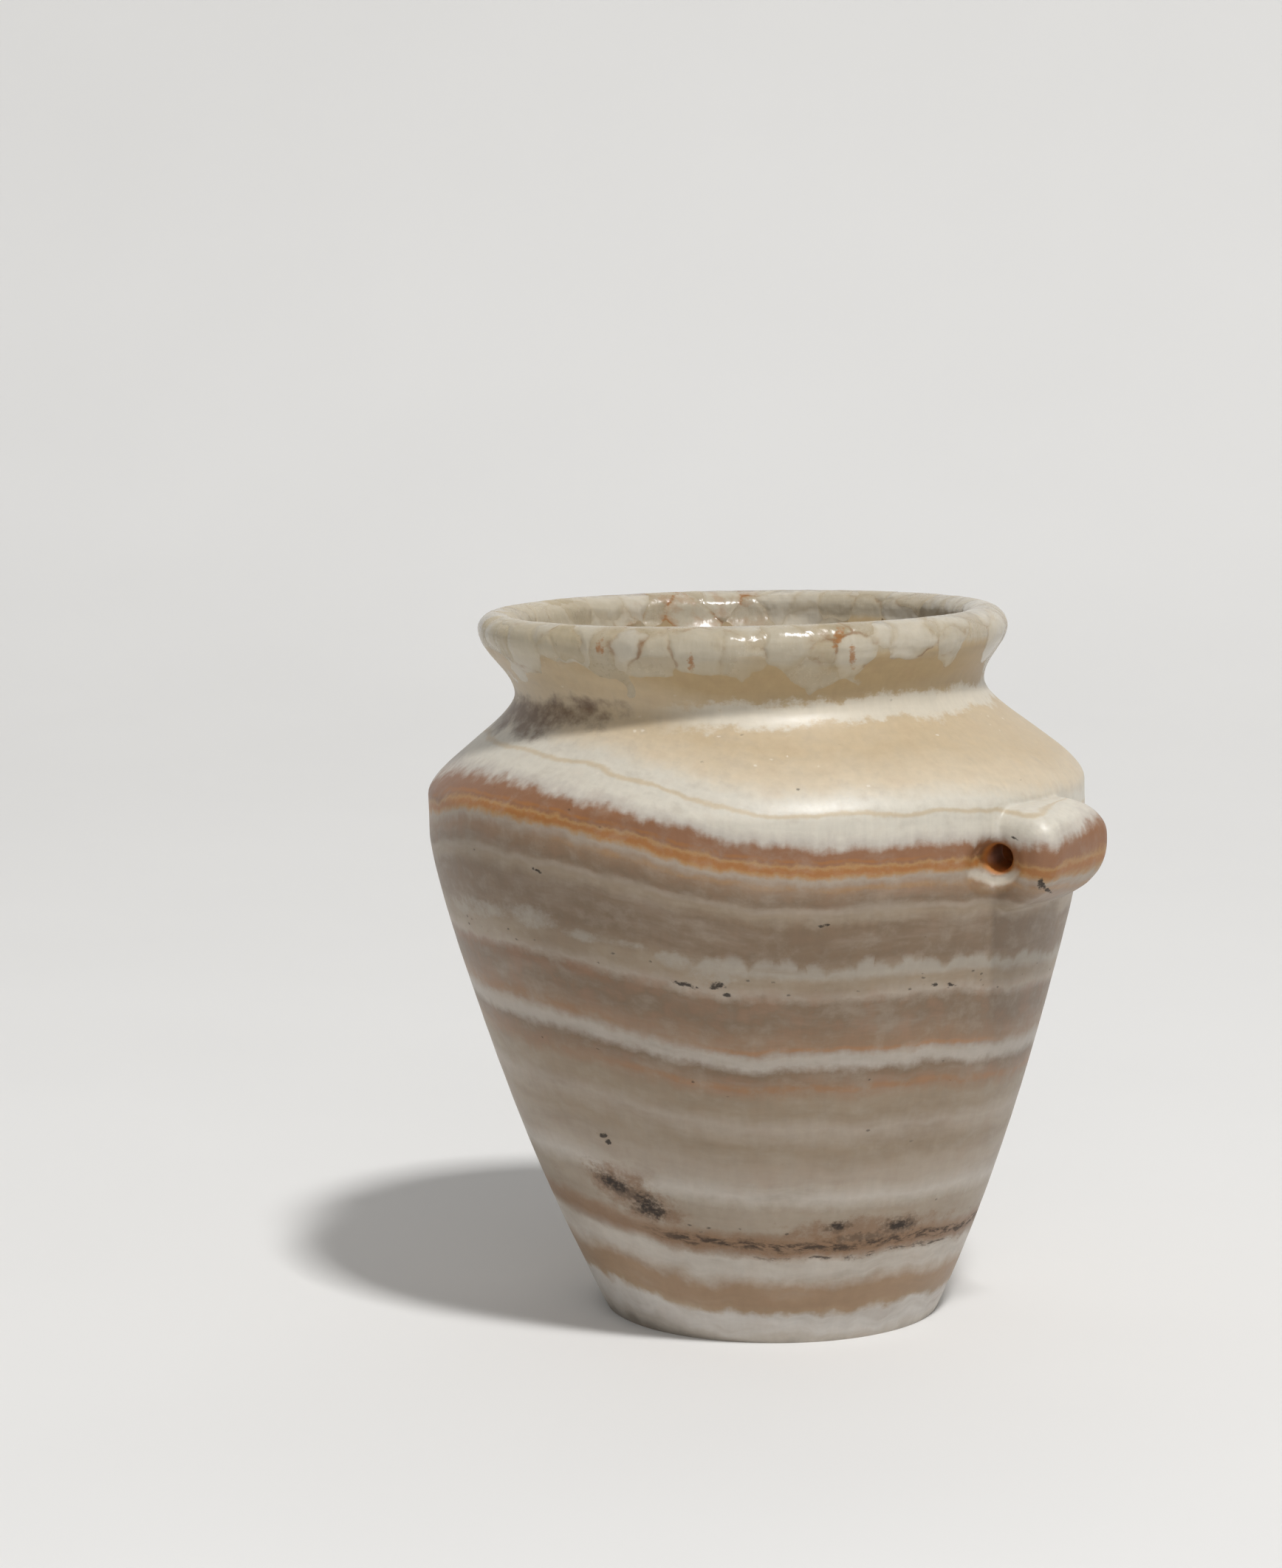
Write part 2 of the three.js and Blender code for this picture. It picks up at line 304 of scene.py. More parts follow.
def lug_blank(tip_radius, fullness):
    """A lug on the right side, with rounded ends and rows that can be rubbed."""
    bm = bmesh.new()
    inner_end = LUG_ROOT_RADIUS - 2 * LUG_EDGE
    points = lug_outline(tip_radius, fullness, inner_end)
    face = bm.faces.new([bm.verts.new((p.x, -LUG_WIDTH / 2, p.y)) for p in points])
    made = bmesh.ops.extrude_face_region(bm, geom=[face])
    bmesh.ops.translate(bm, verts=moved_points(made), vec=(0, LUG_WIDTH, 0))
    bmesh.ops.recalc_face_normals(bm, faces=bm.faces)
    # The two ends are the faces with many corners
    ends = [f for f in bm.faces if len(f.verts) > 4]
    outer = [e for e in bm.edges if any(f in ends for f in e.link_faces)]
    outer = [e for e in outer if max(v.co.x for v in e.verts) > inner_end + LUG_BACK_MARGIN]
    bmesh.ops.bevel(
        bm,
        geom=outer,
        offset=LUG_EDGE,
        offset_type="OFFSET",
        affect="EDGES",
        segments=8,
        profile=0.5,
        material=-1,
        clamp_overlap=True,
    )
    slice_up(bm, (0, 1, 0), -LUG_WIDTH / 2 + LUG_EDGE, LUG_WIDTH / 2 - LUG_EDGE, LUG_ROW_ALONG)
    slice_up(bm, (1, 0, 0), LUG_ROOT_RADIUS, tip_radius, LUG_ROW)
    slice_up(bm, (0, 0, 1), LUG_BOTTOM_LEVEL, LUG_TOP_LEVEL, LUG_ROW)
    # Its inner end stays within the wall, clear of the hollow
    back = Vector((LUG_BACK_RADIUS, 0, 0))
    bmesh.ops.bisect_plane(bm, geom=all_parts(bm), plane_co=back, plane_no=(1, 0, 0), clear_inner=True)
    bmesh.ops.holes_fill(bm, edges=[e for e in bm.edges if e.is_boundary])
    bmesh.ops.recalc_face_normals(bm, faces=bm.faces)
    return bm


def drilling(side):
    """One half of the right lug's hole. side is -1 for the end that faces -Y, 1 for the other."""
    face = LUG_WIDTH / 2
    outline = [
        Vector((0, -HOLE_OVERLAP)),
        Vector((HOLE_RADIUS, -HOLE_OVERLAP)),
        Vector((HOLE_RADIUS, face - FUNNEL_DEPTH)),
        Vector((HOLE_RADIUS * FUNNEL_NECK_SHARE, face - FUNNEL_DEPTH * FUNNEL_NECK_DEPTH_SHARE)),
        Vector((FUNNEL_RADIUS, face)),
        Vector((FUNNEL_RADIUS, LUG_WIDTH)),
        Vector((0, LUG_WIDTH)),
    ]
    bm = turn(outline, HOLE_STEPS)
    lay_down = Matrix.Rotation(math.pi / 2, 4, "X")
    slant = Matrix.Rotation(HOLE_SLANT, 4, "Z")
    flip = Matrix.Identity(4) if side < 0 else Matrix.Rotation(math.pi, 4, "X")
    place = Matrix.Translation((HOLE_MIDDLE_RADIUS, 0, HOLE_LEVEL))
    bmesh.ops.transform(bm, matrix=place @ flip @ slant @ lay_down, verts=bm.verts)
    return bm


def sort_by_place(bm):
    """Puts points, edges and faces in a fixed order, which a boolean leaves open."""

    def sort(parts, place):
        ranks = {part: rank for rank, part in enumerate(sorted(parts, key=place))}
        parts.sort(key=ranks.get)
        parts.index_update()

    sort(bm.verts, lambda v: v.co[:])
    sort(bm.edges, lambda e: sorted(v.index for v in e.verts))
    sort(bm.faces, lambda f: sorted(v.index for v in f.verts))


def cut(thing, tool, operation):
    """Joins a tool to a thing, or cuts it out of it, and keeps the result."""
    step = thing.modifiers.new(operation, "BOOLEAN")
    step.operation = operation
    step.solver = "EXACT"
    step.object = tool
    depsgraph = bpy.context.evaluated_depsgraph_get()
    mesh = bpy.data.meshes.new_from_object(thing.evaluated_get(depsgraph))
    thing.modifiers.clear()
    old = thing.data
    thing.data = mesh
    bm = open_mesh(thing)
    sort_by_place(bm)
    close_mesh(bm, thing)
    bpy.data.meshes.remove(old)
    bpy.data.objects.remove(tool)


def near_lug(point, reach):
    """Whether a point lies within reach of either lug's block."""
    return (
        abs(point.x) > LUG_ROOT_RADIUS - reach
        and abs(point.y) < LUG_WIDTH / 2 + reach
        and LUG_BOTTOM_LEVEL - reach < point.z < LUG_TOP_LEVEL + reach
    )


def hole_mouth_distance(point, outward=0, down=0):
    """How far a point is from the nearest mouth of the cord holes, or from a spot outside and below it."""
    mouth = Vector((HOLE_MOUTH_RADIUS, LUG_WIDTH / 2 + outward, HOLE_LEVEL - down))
    return (Vector((abs(point.x), abs(point.y), point.z)) - mouth).length


def faces_near_lugs(bm):
    return [f for f in bm.faces if near_lug(f.calc_center_median(), FINE_REACH)]


def creased_points(bm, angle, reach):
    """The points near a lug where two faces meet at more than an angle."""
    creases = [e for e in bm.edges if len(e.link_faces) == 2 and e.calc_face_angle(0) > angle]
    return {v for e in creases for v in e.verts if near_lug(v.co, reach)}


def rub(bm, verts, rings, passes):
    """Rubs the neighbourhood of some points smooth."""
    soft = set(verts)
    for _ in range(rings):
        soft |= {e.other_vert(v) for v in soft for e in v.link_edges}
    soft = [v for v in bm.verts if v in soft]
    for _ in range(passes):
        bmesh.ops.smooth_vert(bm, verts=soft, factor=0.5, use_axis_x=True, use_axis_y=True, use_axis_z=True)


def smoothstep(value, low, high):
    t = min(1, max(0, (value - low) / (high - low)))
    return t * t * (3 - 2 * t)


def stray(point):
    """Carries a point of the true round to where the hand-cut jar has it."""
    body = smoothstep(point.z, 0, BELLY_LEVEL)
    rim = smoothstep(point.z, NECK_LEVEL, CREST_LEVEL)
    offset = (max(0, point.z - BAND_LEVEL) / (CREST_LEVEL - BAND_LEVEL)) ** 2
    tip = (BODY_TIP * body).lerp(RIM_TIP, rim)
    side = LEAN * (point.z / CREST_LEVEL) + RIM_OFFSET * offset
    return Vector((point.x + side.x, point.y + side.y, point.z + point.x * tip.x + point.y * tip.y))


def lump(place):
    """Noise from 0 to 1."""
    return noise.noise(place) * 0.5 + 0.5


def wear(point):
    """How deep the hand-worked surface lies under the true one."""
    broad = lump(point * BROAD_LUMPS)
    ripple = lump(Vector((point.x, point.y, point.z * RIPPLE_SQUASH)) * RIPPLE_LUMPS)
    fine = lump(point * FINE_LUMPS)
    lip = smoothstep(point.z, LIP_WEAR_START, LIP_LEVEL)
    clear_of_floor = smoothstep(point.z, FLAT_FOOT_LEVEL, WORN_FOOT_LEVEL)
    depth = BROAD_WEAR * broad + RIPPLE_WEAR * ripple + (FINE_WEAR + LIP_WEAR * lip) * fine
    return clear_of_floor * depth * MM


def cut_wall_finer(bm):
    """Smaller faces where the lugs join the wall."""
    inmost = BELLY_RADIUS - FINE_DEPTH
    wall = {f for f in faces_near_lugs(bm) if f.calc_center_median().xy.length > inmost}
    edges = [e for e in bm.edges if any(f in wall for f in e.link_faces)]
    bmesh.ops.subdivide_edges(bm, edges=edges, cuts=1, use_grid_fill=True)


def join_lugs(jar):
    for half_turn, tip_radius, fullness in (
        (0, RIGHT_LUG_TIP_RADIUS, RIGHT_LUG_FULLNESS),
        (math.pi, LUG_TIP_RADIUS, 1),
    ):
        blank = lug_blank(tip_radius, fullness)
        bmesh.ops.transform(blank, matrix=Matrix.Rotation(half_turn, 4, "Z"), verts=blank.verts)
        cut(jar, new_object("lug", blank), "UNION")


def drill_holes(jar):
    for half_turn in (0, math.pi):
        for side in (-1, 1):
            drill = drilling(side)
            bmesh.ops.transform(drill, matrix=Matrix.Rotation(half_turn, 4, "Z"), verts=drill.verts)
            cut(jar, new_object("drill", drill), "DIFFERENCE")


def clean_cuts(bm):
    """Merges the points that a cut leaves too close, and makes its odd faces triangles."""
    bmesh.ops.remove_doubles(bm, verts=bm.verts, dist=CARVED_MERGE)
    bmesh.ops.triangulate(bm, faces=faces_near_lugs(bm))


def round_joins(bm):
    """Rubs off the corner where each lug leaves the wall, most of all under it."""
    joins = creased_points(bm, JOIN_CREASE, JOIN_REACH)
    joins = {v for v in joins if v.co.xy.length < BELLY_RADIUS + JOIN_PROUD}
    rub(bm, joins, rings=1, passes=3)
    rub(bm, {v for v in joins if v.co.z < HOLE_LEVEL - LOWER_JOIN_DROP}, rings=3, passes=10)


def wear_scoops(bm):
    """The cord has worn a shallow scoop outside each mouth."""
    bm.normal_update()
    for vert in bm.verts:
        away = hole_mouth_distance(vert.co, SCOOP_OUTWARD, SCOOP_DROP)
        if away < SCOOP_RADIUS:
            share = 1 - smoothstep(away, SCOOP_FLAT_SHARE * SCOOP_RADIUS, SCOOP_RADIUS)
            vert.co -= vert.normal * SCOOP_DEPTH * share


def round_mouths(bm):
    mouths = creased_points(bm, MOUTH_CREASE, MOUTH_CREASE_REACH)
    rub(bm, {v for v in mouths if hole_mouth_distance(v.co) < MOUTH_CREASE_AWAY}, rings=0, passes=3)


def work_by_hand(bm):
    """Wears the surface unevenly, and carries the true round to where the hand-cut jar has it."""
    bm.normal_update()
    for vert in bm.verts:
        vert.co -= vert.normal * wear(vert.co)
    for vert in bm.verts:
        vert.co = stray(vert.co)
    for face in bm.faces:
        face.smooth = True


def carve_jar():
    """The whole jar as one closed skin, so that the stone runs unbroken from body to lug and lip."""
    bm = turn(jar_outline(), JAR_STEPS)
    cut_wall_finer(bm)
    jar = new_object("vase_stone", bm)
    join_lugs(jar)
    bm = open_mesh(jar)
    clean_cuts(bm)
    round_joins(bm)
    wear_scoops(bm)
    close_mesh(bm, jar)
    drill_holes(jar)
    bm = open_mesh(jar)
    clean_cuts(bm)
    round_mouths(bm)
    work_by_hand(bm)
    close_mesh(bm, jar)
    return jar


# Finishes


class Value:
    """A number or colour on its way through a material. Sums on it add their own nodes."""

    def __init__(self, paint, socket):
        self.paint = paint
        self.socket = socket

    def sum(self, operation, first, second):
        return self.paint.node("ShaderNodeMath", {"operation": operation}, {0: first, 1: second})

    def __add__(self, other):
        return self.sum("ADD", self, other)

    __radd__ = __add__

    def __sub__(self, other):
        return self.sum("SUBTRACT", self, other)

    def __rsub__(self, other):
        return self.sum("SUBTRACT", other, self)

    def __mul__(self, other):
        return self.sum("MULTIPLY", self, other)

    def __truediv__(self, other):
        return self.sum("DIVIDE", self, other)

    def larger(self, other):
        return self.sum("MAXIMUM", self, other)

    def above(self, level, softness):
        """0 below a level, 1 above it, with a soft step between."""
        return self.paint.step(self, level - softness, level + softness)

    def below(self, level, softness):
        """1 below a level, 0 above it."""
        return self.paint.step(self, level + softness, level - softness)

    def band(self, low, high, softness):
        """1 between two levels, 0 outside."""
        return self.above(low, softness) * self.below(high, softness)


def largest(values):
    """The largest of several values at each point."""
    found = values[0]
    for value in values[1:]:
        found = found.larger(value)
    return found


class Paint:
    """Builds one material's nodes."""

    def __init__(self, name):
        self.material = bpy.data.materials.new(name)
        self.material.use_nodes = True
        self.tree = self.material.node_tree
        self.tree.nodes.clear()

    def node(self, kind, settings=None, inputs=None, output=0):
        made = self.tree.nodes.new(kind)
        for key, value in (settings or {}).items():
            if key == "stops":
                self.set_stops(made.color_ramp, value)
            elif key == "points":
                self.set_points(made.mapping, value)
            else:
                setattr(made, key, value)
        for key, value in (inputs or {}).items():
            socket = made.inputs[key]
            if isinstance(value, Value):
                self.tree.links.new(value.socket, socket)
            else:
                socket.default_value = value
        if output is None:
            return made
        return Value(self, made.outputs[output])

    @staticmethod
    def set_stops(ramp, stops):
        while len(ramp.elements) > 1:
            ramp.elements.remove(ramp.elements[-1])
        ramp.elements[0].position = stops[0][0]
        ramp.elements[0].color = stops[0][1]
        for place, colour in stops[1:]:
            ramp.elements.new(place).color = colour

    @staticmethod
    def set_points(mapping, points):
        line = mapping.curves[0]
        line.points[0].location = points[0]
        line.points[1].location = points[-1]
        for point in points[1:-1]:
            line.points.new(*point)
        mapping.update()

    def step(self, value, low, high):
        settings = {"interpolation_type": "SMOOTHSTEP"}
        return self.node("ShaderNodeMapRange", settings, {"Value": value, "From Min": low, "From Max": high})

    def vector(self, operation, *parts, output=0, scale=None):
        inputs = dict(enumerate(parts))
        if scale is not None:
            inputs["Scale"] = scale
        return self.node("ShaderNodeVectorMath", {"operation": operation}, inputs, output)

    def dot(self, first, second):
        return self.vector("DOT_PRODUCT", first, second, output=1)

    def length(self, vector):
        return self.vector("LENGTH", vector, output=1)

    def object_place(self):
        return self.node("ShaderNodeTexCoord", output="Object")

    def noise(self, place, scale, detail=2.0, roughness=0.5, output=0):
        """Noise with a scale in lumps per metre."""
        inputs = {"Vector": place, "Scale": scale, "Detail": detail, "Roughness": roughness}
        return self.node("ShaderNodeTexNoise", None, inputs, output)

    def cells(self, place, scale, feature="F1", **more):
        """Cells to a metre: how far each point is from the nearest one, its random colour and its centre."""
        inputs = {"Vector": place, "Scale": scale, **more}
        made = self.node("ShaderNodeTexVoronoi", {"feature": feature}, inputs, output=None)
        return [Value(self, made.outputs[index]) for index in range(3)]

    def chance(self, random):
        """One number from 0 to 1 out of a random colour."""
        return self.node("ShaderNodeSeparateColor", None, {0: random}, 0)

    def ramp(self, stops, value):
        return self.node("ShaderNodeValToRGB", {"stops": stops}, {0: value})

    def curve(self, points, value):
        return self.node("ShaderNodeFloatCurve", {"points": points}, {"Value": value})

    def stretch(self, place, factors, shift=(0, 0, 0)):
        return self.node("ShaderNodeMapping", None, {"Vector": place, "Scale": factors, "Location": shift})

    def grey(self, value):
        return self.node("ShaderNodeCombineColor", None, {0: value, 1: value, 2: value})

    def mix(self, factor, first, second, blend="MIX"):
        made = self.node("ShaderNodeMix", {"data_type": "RGBA", "blend_type": blend}, output=None)
        # The colour sockets of a Mix node come after its number and vector sockets
        for index, value in ((0, factor), (6, first), (7, second)):
            if isinstance(value, Value):
                self.tree.links.new(value.socket, made.inputs[index])
            else:
                made.inputs[index].default_value = value
        return Value(self, made.outputs[2])

    def finish(self, shader_inputs, bump=None):
        inputs = dict(shader_inputs)
        if bump is not None:
            height, distance = bump
            inputs["Normal"] = self.node("ShaderNodeBump", None, {"Height": height, "Distance": distance})
        shader = self.node("ShaderNodeBsdfPrincipled", None, inputs)
        self.node("ShaderNodeOutputMaterial", None, {"Surface": shader}, output=None)
        return self.material


def colour(code):
    """A colour written as the screen shows it, such as c8a87e."""
    parts = [int(code[i : i + 2], 16) / 255 for i in (0, 2, 4)]
    return tuple(((p + 0.055) / 1.055) ** 2.4 if p > 0.04045 else p / 12.92 for p in parts) + (1.0,)


MILK = colour("d3cdbf")
CREAM = colour("d0c1a8")
HONEY = colour("c2af90")
SAND = colour("ae9874")
ASH = colour("c1b9ae")
HAZE = colour("b4aba0")
PEARL = colour("cbc6bf")
DOVE = colour("a99b8b")
DRAB = colour("a09280")
PUTTY = colour("96856f")
TAUPE = colour("7a654e")
FAWN = colour("91755a")
TAN = colour("9d8164")
PALE_TAN = colour("a38a6d")
BLUSH = colour("98745a")
CLAY = colour("8d6345")
AMBER = colour("a36c36")
GOLD = colour("ab8353")
# The lowest bed's grey, darkened with painted shade at the foot
SLATE_AND_FOOT_SHADE = colour("999186")
PUFF = colour("aea89d")
# The colour of painted glints, highlights of light off bright grains
PAINTED_GLINT = colour("e6ddcf")
EARTH = colour("7f5c3c")
# A brown stain's colour, darkened with painted shadow of the lip
UMBER_STAIN_AND_SHADE = colour("62462b")
BARK = colour("57432f")
SOOT = colour("20140a")
RUST = colour("9c6a38")
RUST_WITH_PAINTED_LIGHT = colour("c98443")
# Rust colour brightened with painted light, for inside the cord holes
SEAM_RUST = colour("86603a")
CRYSTAL_RIM = colour("ab9a7d")
CRYSTAL_SHADE = colour("b9ac91")
CRYSTAL_TONES = [
    (0, colour("a39579")),
    (0.16, colour("aea18a")),
    (0.5, colour("bab09c")),
    (0.85, colour("c4bbaa")),
]

# The stone's pattern, where places and sizes are in millimetres

# How far above the floor the lowest bed starts, and where the beds' two tables meet and end
BED_START = 2.6
MIDDLE_BED = 75
TOP_BED = 150

# The beds of the stone up the front of the jar: height above their start, and tone
LOWER_BEDS = [
    # Painted shade: the lowest stop is darker towards the foot
    (0, SLATE_AND_FOOT_SHADE),
    (2.6, ASH),
    (4.6, PEARL),
    (8.2, PEARL),
    (9.6, PALE_TAN),
    (10.6, TAN),
    (14.2, TAN),
    (17.4, ASH),
    (20.6, ASH),
    (22.8, FAWN),
    (25, FAWN),
    (27, DRAB),
    (31.5, DRAB),
    (34.6, ASH),
    (38, DOVE),
    (45, PUTTY),
    (49.6, DOVE),
    (52.4, PUTTY),
    (55.2, PUTTY),
    (57.6, FAWN),
    (61, TAUPE),
    (62.8, HAZE),
    (64.2, HAZE),
    (66.4, FAWN),
    (71, TAUPE),
    (MIDDLE_BED, TAUPE),
]
UPPER_BEDS = [
    (MIDDLE_BED, TAUPE),
    (76.9, DOVE),
    (79, PUTTY),
    (81, PUTTY),
    (84.6, TAUPE),
    (91, TAUPE),
    (93.6, PUTTY),
    (96.4, TAUPE),
    (99, FAWN),
    (101, DOVE),
    (101.9, GOLD),
    (102.5, AMBER),
    (103.1, AMBER),
    (103.7, GOLD),
    (104.4, CLAY),
    (106.8, CLAY),
    (108.5, ASH),
    (110.6, MILK),
    (116, MILK),
    (119.5, CREAM),
    (125, HONEY),
    (131, HONEY),
    (135, SAND),
    (140, SAND),
    (TOP_BED, SAND),
]

# How far the leaning axis moves for each millimetre up: left across the front, and towards -X and -Y
FRONT_LEAN_SHARE = 0.0341
AXIS_LEAN_SHARES = (0.0272, 0.0205)

# Where the beds rise and fall across the jar: place right of its middle, and rise
FOLD = [
    (-80, 3),
    (-67, 8.4),
    (-60, 11.6),
    (-50, 10.9),
    (-38, 9.4),
    (-28, 7.4),
    (-18, 4.9),
    (-9, 2.5),
    (0, 1),
    (12, 0.2),
    (40, -0.8),
    (59, -4),
    (67, -5.5),
    (80, -7),
]
# The frame that the fold's curve is drawn in: half its width, how far down it starts, and its height
FOLD_REACH = 80
FOLD_DEPTH = 10
FOLD_SPAN = 30
# Below this level the fold slips left, by a share of the drop
FOLD_LEVEL = 104
FOLD_SLIP_SHARE = 0.12
# How much of the fold a bed has: share of the jar's height, and share of the fold
FOLD_SHARES = [(0, 0.3), (0.16, 0.55), (0.46, 0.82), (0.7, 1), (1, 1)]

# Where a lug stands clear of the wall, and the bed above which its beds spread and rise
LUG_CLEAR_RADIUS = 71.5
LUG_CLEAR_ACROSS = 60
LUG_SPREAD_BED = 102
LUG_SPREAD_SHARE = 0.5
LUG_RISE = 1.2

# Thin coloured lines along the beds: bed, half width, tone, strength, left and right end, broken or whole
COLOURED_LINES = [
    (113.8, 0.4, HONEY, 0.7, -90, 90, False),
    (104.9, 0.3, AMBER, 0.6, -90, 30, True),
    (65.8, 0.4, AMBER, 0.45, -12, 46, True),
    (66.9, 0.9, RUST, 0.28, -66, -30, True),
    (75.2, 1.1, CLAY, 0.4, -64, -30, True),
    (58.0, 0.6, AMBER, 0.32, -30, 60, True),
    (94.8, 0.6, DOVE, 0.5, -90, 90, True),
    (99.4, 0.5, GOLD, 0.4, -40, 70, True),
]

# Stains on the front: place right of the middle, level, half width, half height, and slope where there is one
PUFFS = [
    (-57.9, 93.0, 6.2, 2.2, 0.05),
    (-46.7, 92.7, 5, 2.2, -0.2),
    (-36.4, 89.8, 4, 1.2, -0.2),
    (-27.4, 88.5, 3.4, 1, -0.1),
    (-18.9, 85.6, 3.6, 1.8, -0.2),
    (-9.8, 83.4, 6, 2.6, -0.1),
]
TAWNY_STAIN = (-31, 37.5, 8, 3.6)
LEFT_HALO = (-38, 27.6, 14, 2.6, -0.16)
HALOS = [(-28, 33, 10, 5, -0.45), (18, 26.8, 17, 3)]
# A real brown stain on the left of the neck, made darker with painted shadow of the lip
NECK_STAIN_AND_SHADE = (-46, 131, 20, 4, 0.1)
CLUMPS = [
    (-31.2, 35, 5.6, 2.6, -0.42),
    (-25.6, 31.6, 4.2, 3.4, -0.3),
    (12.8, 28, 3.2, 1.5, 0.1),
    (25.4, 26.6, 4.4, 2.2, 0.1),
    (18, 25, 6, 1.2),
]
CORES = [(-25.2, 31.4, 3, 2.4, -0.3), (-32, 35.4, 3, 1.4, -0.4), (12.6, 28, 1.8, 0.9), (25.6, 26.8, 2.4, 1.1)]
MARKS = [
    (-16.6, 80.6, 2.6, 0.6, -0.3),
    (-10.4, 80.4, 1.8, 0.8, 0.15),
    (-8.4, 78.4, 0.9, 0.45),
    (33.1, 78.0, 0.8, 0.45),
    (36.5, 77.5, 0.9, 0.45, -0.2),
    (10.9, 92.1, 1.4, 0.35, 0.1),
    (-34.2, 46.3, 1.1, 0.6),
    (-33, 45, 0.6, 0.7),
    (-45.2, 102.8, 1.1, 0.4, -0.4),
    (54.6, 97.6, 0.9, 1.3, -0.3),
    (56, 96, 1.3, 0.6, -0.8),
    (49.9, 106.6, 0.7, 0.3, -0.4),
]
RUST_SPOTS = [
    (16, 147.4, 1.3, 2, 0.9),
    (18.8, 143.6, 0.7, 2.6),
    (-13.2, 143.2, 0.7, 1.8),
    (-31, 146.4, 0.8, 1.8, 0.6),
]
RUST_SEAMS = [(17, 146.5, 5, 4), (-14, 144.6, 4, 3), (-24, 146, 8, 3), (33, 144.6, 3, 3)]

# Where the beds change their kind: lower end, upper end and softness
TOOTHED_BEDS = (105, 114, 2)
CLAY_BEDS = (105, 110, 1.5)
WARM_BEDS = [(66, 77, 2), (56, 61, 1.5)]
PALER_WARM_BED = (96, 101, 1.5)
COOL_BEDS = (30, 130, 6)
STAINED_BEDS = (22, 26, 1.6)
UPPER_TRAIL = (23.2, 24.8, 0.6)
LOWER_TRAIL = (21.2, 22, 0.35)
OPEN_BED = (77, 80.4, 0.8)
UPPER_PORES = (56.5, 59.5, 1)
LOWER_PORES = (25, 30, 3)
# The beds that get painted glints of light
PAINTED_GLINT_BEDS = (112, 134, 2)
WISPS = (130, 134.6, 0.9)

# Where they do so across the front: left end, right end and softness
STAINED_STRETCH = (-26, 52, 7)
UPPER_TRAIL_STRETCH = (-24, 52, 7)
LOWER_TRAIL_STRETCH = (-4, 38, 6)
FAR_RUST_STRETCH = (-24, 4, 5)

# The row of puffs: its foot and top along the beds, and its left end, where the wisps end too
PUFF_FOOT = 80.7
PUFF_TOP = 82
PUFF_LEFT = -16

# Down to where crystals hang over the beds, cover them whole and line the mouth
HANGING_LEVEL = 142.8
COVERED_LEVEL = 144.2
MOUTH_LEVEL = 135

# How many puffs, pits and crystals there are to a metre
PUFFS_TO_A_METRE = 250.0
PITS_TO_A_METRE = 520.0
CRYSTALS_TO_A_METRE = 122.0
# How much the crystals' heights are drawn together before they are laid out, and how far their edges wander
CRYSTAL_SQUASH = 0.8
CRYSTAL_BEND = 3.4

# Round a cord hole: how far rust, brightened with painted light, reaches from its middle line and along it,
# and where the worn edge lies
HOLE_RUST_AND_LIGHT_RADIUS = 3.2
HOLE_RUST_AND_LIGHT_DEPTHS = (-16, -0.6, 0.8)
WORN_EDGE_RADII = (3.7, 5.4, 0.5)
WORN_EDGE_DEPTHS = (-2.5, 5.5, 1.2)


